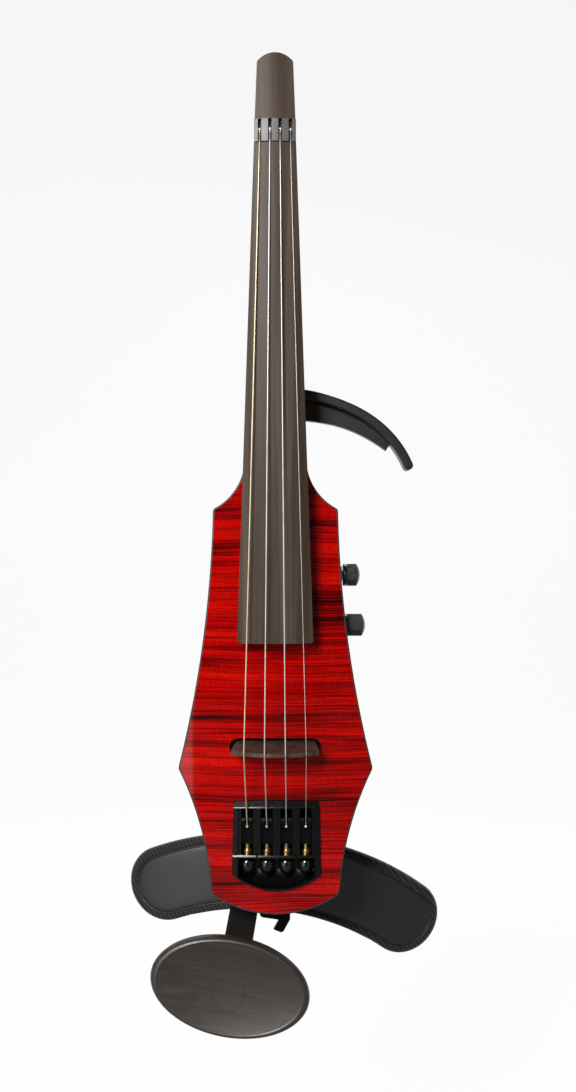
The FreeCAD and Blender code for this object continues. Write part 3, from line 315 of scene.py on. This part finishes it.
def wound_wire(name, shade):
    """Flat-wound string: a fine spiral of ribbon, seen as rings along Z."""
    wire = Finish(name, Metallic=0.8)
    rings = wire.add("TexWave", {"Vector": wire.scaled(0, 0, 1), "Scale": 1050.0,
                                 "Distortion": 0.0}, bands_direction="Z").outputs["Fac"]
    wear = wire.noise(wire.scaled(300, 300, 40), 2)
    colour = wire.ramp(wear, (0.3, tuple(c * 0.88 for c in shade[:3]) + (1,)), (0.65, shade))
    wire.drive(colour, "Base Color")
    wire.drive(wire.levels(wear, 0.3, 0.7, 0.42, 0.5), "Roughness")
    wire.bump(rings, 0.004 * MM, 0.3)
    return wire.material


def leatherette():
    """Smooth black cover cloth with a very fine grain."""
    skin = Finish("leatherette", Roughness=0.55, Specular_IOR_Level=0.85)
    cells = skin.add("TexVoronoi", {"Vector": skin.place, "Scale": 1500.0},
                     feature="DISTANCE_TO_EDGE").outputs["Distance"]
    cloudy = skin.noise(skin.scaled(45, 45, 45), 3)
    colour = skin.ramp(cloudy, (0.3, tone(15, 15, 14)), (0.7, tone(22, 22, 21)))
    skin.drive(colour, "Base Color")
    skin.drive(skin.levels(cloudy, 0.3, 0.7, 0.44, 0.52), "Roughness")
    skin.bump(cells, 0.06 * MM, 0.5)
    return skin.material


def twill():
    """Diagonal ribbed textile of the soft border and back, with painted shade in the grooves
    between ribs.
    """
    cloth = Finish("twill", Specular_IOR_Level=0.35, Sheen_Weight=0.25, Sheen_Roughness=0.4)
    shade = (46, 44, 42)
    turned = cloth.scaled(1, 1, 1, turn_y=math.radians(38))
    ribs_and_groove_shade = cloth.add("TexWave", {"Vector": turned, "Scale": 130.0, "Distortion": 0.4, "Detail": 1.0,
                                 "Detail Scale": 2.0}, bands_direction="X").outputs["Fac"]
    threads = cloth.noise(cloth.scaled(2200, 2200, 2200), 2)
    # the rib wave both bumps the cloth and darkens its low grooves to 45%: the weave's own diagonal
    # stripe, and painted shade in the grooves
    colour = cloth.ramp(ribs_and_groove_shade, (0.15, tone(*[0.45 * c for c in shade])), (0.75, tone(*shade)))
    cloth.drive(cloth.shade(colour, cloth.levels(threads, 0.3, 0.7, 0.8, 1.15)), "Base Color")
    cloth.drive(cloth.levels(threads, 0.3, 0.7, 0.7, 0.9), "Roughness")
    cloth.bump(cloth.maths("ADD", ribs_and_groove_shade, cloth.maths("MULTIPLY", threads, 0.3)), 0.22 * MM, 0.8)
    return cloth.material


def make_materials():
    silver = tone(222, 220, 214)
    return {
        "top_wood": flamed_top(),
        "body_wood": stained_body(),
        "neck_wood": neck_maple(),
        "ebony": ebony(),
        "binding": plain("edge_line", tone(36, 36, 35), 0.45),
        "nut_metal": plain("nut_satin", tone(84, 83, 80), 0.4),
        "string_steel": wound_wire("wound_steel", silver),
        "string_gold": wound_wire("wound_gold", tone(226, 212, 176)),
        "black_metal": plain("black_satin", tone(10, 10, 10), 0.24, depth=0.004,
                             Specular_IOR_Level=0.3),
        "knob_black": plain("black_gloss", tone(9, 9, 10), 0.14, depth=0.002, Coat_Weight=0.6,
                            Coat_Roughness=0.1),
        "control_black": plain("control_satin", tone(26, 27, 27), 0.32, depth=0.01),
        "brass": brushed("brass", tone(240, 206, 140), 0.34, "z"),
        "steel": brushed("steel", tone(196, 196, 194), 0.28, "y"),
        "arm_plastic": plain("arm_moulding", tone(23, 23, 22), 0.34, grain=1100, depth=0.05,
                             Specular_IOR_Level=0.4),
        "bar_metal": plain("bar_satin", tone(26, 24, 23), 0.42, grain=1400,
                           Specular_IOR_Level=0.3),
        "board_green": plain("circuit_green", tone(26, 92, 48), 0.4),
        "lead": plain("lead_jacket", tone(28, 28, 28), 0.5),
        "plate_plastic": plain("stiff_plate", tone(28, 28, 28), 0.45, grain=1100, depth=0.05),
        "pad_foam": twill(),
        "liner_fabric": leatherette(),
    }


def dress_nodes(materials):
    """Give every CAD node the finish of its slot, but the chin plate, its plug and the tuner
    carriages their own; the carriages' black is deepened with painted shade for their channels.
    """
    slots = {part["node"]: part["material_slot"] for part in frame["record"]["subparts"]}
    plate = ebony("chin_ebony", turn_y=-CHIN_LEAN, along="x", contrast=0.8, gloss=0.9, shade=0.62)
    # painted shade: the carriages' own black is made darker than the housing's, to stand for the
    # shade in their deep channels
    carriage = plain("carriage_gloss_painted_shade", tone(4, 4, 4), 0.2, depth=0.003, Specular_IOR_Level=0.25)
    own = {"chin_plate": plate, "chin_plug": plate}
    own.update({"tuner_carriage_" + string: carriage for string in STRINGS})
    for name, node in frame["nodes"].items():
        finish = own.get(name, materials[slots[name]])
        if not node.material_slots:
            node.data.materials.append(finish)
        for slot in node.material_slots:
            slot.material = finish


# ---- mesh helpers ----
def add_piece(name, verts, faces, material, body):
    """Smooth piece from a mesh, riding its body; a piece given no body rides none."""
    mesh = bpy.data.meshes.new(name)
    mesh.from_pydata([tuple(v) for v in verts], [], faces)
    work = bmesh.new()
    work.from_mesh(mesh)
    bmesh.ops.remove_doubles(work, verts=work.verts, dist=0.004 * MM)
    bmesh.ops.recalc_face_normals(work, faces=work.faces)
    work.to_mesh(mesh)
    work.free()
    mesh.shade_smooth()
    mesh.materials.append(material)
    piece = bpy.data.objects.new(name, mesh)
    bpy.context.scene.collection.objects.link(piece)
    if body:
        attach(piece, body)
    return piece


def bridged(rings):
    """Quads between rings of equal length; each ring is a closed loop."""
    n = len(rings[0])
    faces = []
    for k in range(len(rings) - 1):
        for j in range(n):
            j2 = (j + 1) % n
            faces.append((k * n + j, k * n + j2, (k + 1) * n + j2, (k + 1) * n + j))
    return [v for ring in rings for v in ring], faces


def round_ring(point, ahead, radius, sides):
    """Circle of points round a path that never runs along Y."""
    side = ahead.cross(Vector((0, 1, 0))).normalized()
    up = side.cross(ahead).normalized()
    return [point + radius * (side * math.cos(a) + up * math.sin(a))
            for a in [2 * math.pi * j / sides for j in range(sides)]]


def swept(path, radii, sides=12):
    """Tube along a path with a radius at each point, closed at both ends."""
    rings = []
    for k, point in enumerate(path):
        ahead = path[min(k + 1, len(path) - 1)] - path[max(k - 1, 0)]
        rings.append(round_ring(point, ahead, radii[k], sides))
    verts, faces = bridged(rings)
    last = (len(rings) - 1) * sides
    faces += [tuple(range(sides)), tuple(range(last, last + sides))]
    return verts, faces


def apply_modifiers(piece):
    """Replace a piece's mesh with what its modifiers make of it."""
    graph = bpy.context.evaluated_depsgraph_get()
    mesh = bpy.data.meshes.new_from_object(piece.evaluated_get(graph))
    piece.modifiers.clear()
    piece.data = mesh


# ---- strings ----
def string_stations(name):
    """Centres of a string at its ball, nut, bridge and tail end, from the CAD."""
    node = frame["nodes"]["string_" + name]
    points = [v.co for v in node.data.vertices]
    low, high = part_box("string_" + name)
    nut_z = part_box("nut")[0][2]
    bend = 0.6 * MM
    stations = []
    for z, reach in ((high[2] - BALL_R, BALL_R), (nut_z, bend), (0.0, bend),
                     (low[2] + BALL_R, BALL_R)):
        near = [p for p in points if abs(p.z - z) < reach * 1.05]
        stations.append(Vector([(min(p[k] for p in near) + max(p[k] for p in near)) / 2
                                for k in range(3)]))
    return stations


def add_string(name, materials):
    """A wire over nut and bridge to its tuner, with a ball at each end."""
    ball, nut, bridge, tail = string_stations(name)
    path, radii = [], []
    radius = STRING_DIA[name] / 2
    pole_a, neck_a = 0.02, math.asin(radius / BALL_R)
    angles = [pole_a + (math.pi - neck_a - pole_a) * k / 8 for k in range(9)]
    for a in angles:
        path.append(ball + (ball - nut).normalized() * BALL_R * math.cos(a))
        radii.append(BALL_R * math.sin(a))
    for start, end, steps in ((ball, nut, 3), (nut, bridge, 24), (bridge, tail, 10)):
        for k in range(1, steps):
            path.append(start.lerp(end, k / steps))
            radii.append(radius)
        if end is not tail:
            before = end + (start - end).normalized() * radius * 1.5
            path += [before, end]
            radii += [radius] * 2
    for a in reversed(angles):
        path.append(tail + (tail - bridge).normalized() * TAIL_BALL_R * math.cos(a))
        radii.append(max(TAIL_BALL_R * math.sin(a), min(radius, TAIL_BALL_R * a)))
    slot = "string_gold" if name == "g" else "string_steel"
    verts, faces = swept(path, radii, 16)
    piece = add_piece("wire_" + name, verts, faces, materials[slot], None)
    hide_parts("string_" + name)
    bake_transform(piece)


# ---- side knobs ----
def add_side_knob(name, materials):
    """Turned knob with a diamond knurl and a domed end, hollow for its shaft."""
    low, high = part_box(name + "_knob")
    axis_y, axis_z = (low[1] + high[1]) / 2, (low[2] + high[2]) / 2
    radius = (high[1] - low[1]) / 2
    x0, x1 = low[0], high[0]
    shaft_r = 3.02 * MM
    hole_end = x1 - 2.8 * MM
    dome_x = x1 - 2.0 * MM
    knurl_x0, knurl_x1 = x0 + 2.4 * MM, dome_x - 0.3 * MM
    cut = 0.3 * MM
    around = KNURLS * 8
    pitch = 2 * math.pi * radius / KNURLS
    profile = [(hole_end, 0.05 * MM), (hole_end, shaft_r), (x0 + 0.3 * MM, shaft_r),
               (x0, shaft_r + 0.3 * MM), (x0, radius - 0.5 * MM),
               (x0 + 0.15 * MM, radius - 0.15 * MM), (x0 + 0.5 * MM, radius)]
    steps = int((knurl_x1 - knurl_x0) / (pitch / 8))
    profile += [(knurl_x0 - 0.25 * MM, radius), (knurl_x0 - 0.1 * MM, radius - cut * 0.7)]
    profile += [(knurl_x0 + (knurl_x1 - knurl_x0) * k / steps, None) for k in range(steps + 1)]
    dome_r = 10.9 * MM
    reach = math.asin((radius - 0.45 * MM) / dome_r)
    profile += [(dome_x, radius - 0.12 * MM)]
    profile += [(x1 - dome_r + dome_r * math.cos(a), dome_r * math.sin(a))
                for a in [reach * (1 - k / 10) for k in range(10)]]
    profile += [(x1, 0.02 * MM)]
    rings = []
    for x, r in profile:
        ring = []
        for j in range(around):
            a = 2 * math.pi * j / around
            here = r
            if r is None:
                turns, run = a * KNURLS, 2 * math.pi * (x - knurl_x0) / pitch
                groove = max(abs(math.cos((turns + run) / 2)), abs(math.cos((turns - run) / 2)))
                here = radius - cut * max(0.0, (groove - 0.72) / 0.28)
            ring.append(Vector((x, axis_y + here * math.cos(a), axis_z + here * math.sin(a))))
        rings.append(ring)
    verts, faces = bridged(rings)
    n = len(verts)
    faces += [tuple(range(around)), tuple(range(n - around, n))]
    piece = add_piece(name + "_grip", verts, faces, materials["control_black"],
                      name + "_control")
    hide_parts(name + "_knob")


# ---- shoulder rest ----
def rest_centre():
    """Middle of the rest, from the box of its pad."""
    low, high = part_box("shoulder_pad")
    wings = [Vector((s * WING_X, 0, WING_Z)) for s in (-1, 1)]
    leaned = [Matrix.Rotation(REST_LEAN, 3, "Y") @ w for w in wings]
    middle_x = (low[0] + high[0]) / 2 - (leaned[0].x + leaned[1].x) / 2
    return Vector((middle_x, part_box("rest_liner")[0][1], low[2] + WING_R - leaned[1].z))


def kidney(inset):
    """Outline points at an inset, with their places on the spine (x, z pairs)."""
    gap = WING_Z - REST_LOW
    low_r = (WING_X ** 2 + gap ** 2 - WING_R ** 2) / (2 * (WING_R - gap))
    up_c, low_c = REST_TOP - REST_TOP_R, REST_LOW - low_r
    spine_top = (REST_TOP + REST_LOW) / 2
    spine_r = (WING_X ** 2 + (spine_top - WING_Z) ** 2) / (2 * (spine_top - WING_Z))
    spine_c = spine_top - spine_r

    up_a = math.atan2(WING_X, WING_Z - up_c)
    low_a = math.atan2(WING_X, WING_Z - low_c)
    spine_a = math.atan2(WING_X, WING_Z - spine_c)

    def on_spine(t):
        return spine_r * math.sin(spine_a * t), spine_c + spine_r * math.cos(spine_a * t)

    points = []
    for k in range(REST_LONG_STEPS):
        t = 1 - 2 * k / REST_LONG_STEPS
        a = up_a * t
        r = REST_TOP_R - inset
        points.append(((-r * math.sin(a), up_c + r * math.cos(a)), on_spine(-t)))
    for k in range(REST_END_STEPS):
        a = up_a + (math.pi - up_a + low_a) * k / REST_END_STEPS
        r = WING_R - inset
        points.append(((WING_X + r * math.sin(a), WING_Z + r * math.cos(a)), (WING_X, WING_Z)))
    for k in range(REST_LONG_STEPS):
        t = 1 - 2 * k / REST_LONG_STEPS
        a = low_a * t
        r = low_r + inset
        points.append(((r * math.sin(a), low_c + r * math.cos(a)), on_spine(t)))
    for k in range(REST_END_STEPS):
        a = math.pi + low_a - (math.pi - up_a + low_a) * k / REST_END_STEPS
        r = WING_R - inset
        points.append(((-WING_X - r * math.sin(a), WING_Z + r * math.cos(a)), (-WING_X, WING_Z)))
    return points


def rest_ring(centre, inset, depth):
    """One ring of a rest layer: an inset outline bent back at the wings."""
    ring = []
    turn = Matrix.Rotation(REST_LEAN, 3, "Y")
    share = min(1.0, inset / REST_HALF)
    for (x, z), (sx, sz) in kidney(min(inset, CROWN_SHARE * REST_HALF)):
        if share >= CROWN_SHARE:
            blend = (share - CROWN_SHARE) / (1 - CROWN_SHARE)
            x, z = x + (sx - x) * blend, z + (sz - z) * blend
        radius = REST_BEND - depth
        y = REST_BEND - math.sqrt(radius ** 2 - x ** 2)
        ring.append(centre + turn @ Vector((x, 0, z)) + Vector((0, y, 0)))
    return ring


def layer(centre, profile):
    """Closed layer whose profile runs from the front spine round to the back spine."""
    return bridged([rest_ring(centre, inset, depth) for inset, depth in profile])


def cut_leg_window(piece):
    """Room for the plate's hinge leg, round the tilt pin and leaned like the rest."""
    low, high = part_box("tilt_pin")
    turn = Matrix.Rotation(REST_LEAN, 4, "Y")
    width, deep, height, drop = 20.4 * MM, 22 * MM, 23 * MM, 2.5 * MM
    middle_y = 21 * MM
    middle = Vector(((low[0] + high[0]) / 2, middle_y, (low[2] + high[2]) / 2))
    work = bmesh.new()
    bmesh.ops.create_cube(work, size=1.0)
    mesh = bpy.data.meshes.new("window")
    work.to_mesh(mesh)
    work.free()
    tool = bpy.data.objects.new("window", mesh)
    tool.matrix_world = (Matrix.Translation(middle + turn @ Vector((0, 0, -drop))) @ turn
                         @ Matrix.Diagonal((width, deep, height, 1)))
    bpy.context.scene.collection.objects.link(tool)
    modifier = piece.modifiers.new("window", "BOOLEAN")
    modifier.object = tool
    modifier.operation = "DIFFERENCE"
    bpy.context.view_layer.update()
    apply_modifiers(piece)
    bpy.data.objects.remove(tool)


def swell(piece, pinned, frames, reach):
    """Inflate the free part of a soft piece as cloth, then cap how far it moved."""
    rest = [v.co.copy() for v in piece.data.vertices]
    group = piece.vertex_groups.new(name="pinned")
    group.add([k for k, v in enumerate(rest) if pinned(v)], 1.0, "REPLACE")
    cloth = piece.modifiers.new("swell", "CLOTH")
    settings = cloth.settings
    settings.vertex_group_mass = "pinned"
    settings.use_pressure = True
    settings.uniform_pressure_force = 2.5
    settings.tension_stiffness = 30
    settings.compression_stiffness = 30
    settings.bending_stiffness = 2.0
    settings.mass = 0.25
    settings.effector_weights.gravity = 0
    cloth.point_cache.frame_start = 1
    cloth.point_cache.frame_end = frames
    scene = bpy.context.scene
    for number in range(1, frames + 1):
        scene.frame_set(number)
    apply_modifiers(piece)
    scene.frame_set(1)
    for v, start in zip(piece.data.vertices, rest):
        move = v.co - start
        if move.length > reach:
            v.co = start + move * (reach / move.length)
    piece.vertex_groups.clear()


def add_rest_cushion(centre, materials):
    """Soft ribbed border and back, swelled over its free part."""
    half, seam, floor = REST_HALF, 4.9 * MM, 4.1 * MM
    profile = [(half, floor), (half * 0.75, floor), (half * 0.5, floor), (seam + 2 * MM, floor),
               (seam, 4.0 * MM), (seam, 2.2 * MM), (seam - 0.15 * MM, 1.1 * MM),
               (seam - 0.6 * MM, 0.5 * MM), (seam - 1.4 * MM, 0.2 * MM),
               (seam - 2.4 * MM, 0.15 * MM), (1.6 * MM, 0.45 * MM),
               (0.8 * MM, 1.0 * MM), (0.25 * MM, 1.9 * MM), (0.0, 3.2 * MM), (0.1 * MM, 5.0 * MM),
               (0.7 * MM, 6.8 * MM), (1.8 * MM, 8.4 * MM), (3.4 * MM, 9.7 * MM),
               (5.4 * MM, 10.7 * MM), (8.0 * MM, 11.4 * MM), (11.0 * MM, 11.9 * MM),
               (14.5 * MM, 12.2 * MM), (18.5 * MM, 12.4 * MM), (half, 12.5 * MM)]
    verts, faces = layer(centre, profile)
    piece = add_piece("rest_cushion", verts, faces, materials["pad_foam"], "shoulder_rest")
    limit = centre.y + 8.0 * MM
    swell(piece, lambda v: v.y < limit, frames=14, reach=2.2 * MM)
    cut_leg_window(piece)
    piece.data.shade_smooth()
    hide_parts("shoulder_pad")


def add_rest_panel(centre, materials):
    """Smooth front cover with a rolled edge."""
    half, edge = REST_HALF, 5.3 * MM
    profile = [(half, 1.75 * MM), (half * 0.6, 1.75 * MM), (edge + 0.6 * MM, 1.7 * MM),
               (edge, 1.3 * MM), (edge, 0.9 * MM), (edge + 0.35 * MM, 0.5 * MM),
               (edge + 1.0 * MM, 0.25 * MM), (edge + 2.2 * MM, 0.1 * MM),
               (edge + 4.5 * MM, 0.02 * MM), (half * 0.62, 0.0), (half, 0.0)]
    verts, faces = layer(centre, profile)
    piece = add_piece("rest_front_panel", verts, faces, materials["liner_fabric"], "shoulder_rest")
    cut_leg_window(piece)
    piece.data.shade_smooth()
    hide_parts("rest_liner")


def add_rest_piping(centre, materials):
    """Thin corded seam between the front panel and the soft border."""
    inset, depth, cord_r = 5.1 * MM, 0.75 * MM, 0.42 * MM
    path = rest_ring(centre, inset, depth)
    rings = [round_ring(point, path[(k + 1) % len(path)] - path[k - 1], cord_r, 8)
             for k, point in enumerate(path)]
    verts, faces = bridged(rings + rings[:1])
    piece = add_piece("rest_piping", verts, faces, materials["liner_fabric"], "shoulder_rest")
    cut_leg_window(piece)
    piece.data.shade_smooth()


# ---- build ----
add_camera()
add_studio()
MATERIALS = make_materials()
dress_nodes(MATERIALS)
for string in STRINGS:
    add_string(string, MATERIALS)
for knob in ("volume", "tone"):
    add_side_knob(knob, MATERIALS)
CENTRE = rest_centre()
add_rest_cushion(CENTRE, MATERIALS)
add_rest_panel(CENTRE, MATERIALS)
add_rest_piping(CENTRE, MATERIALS)
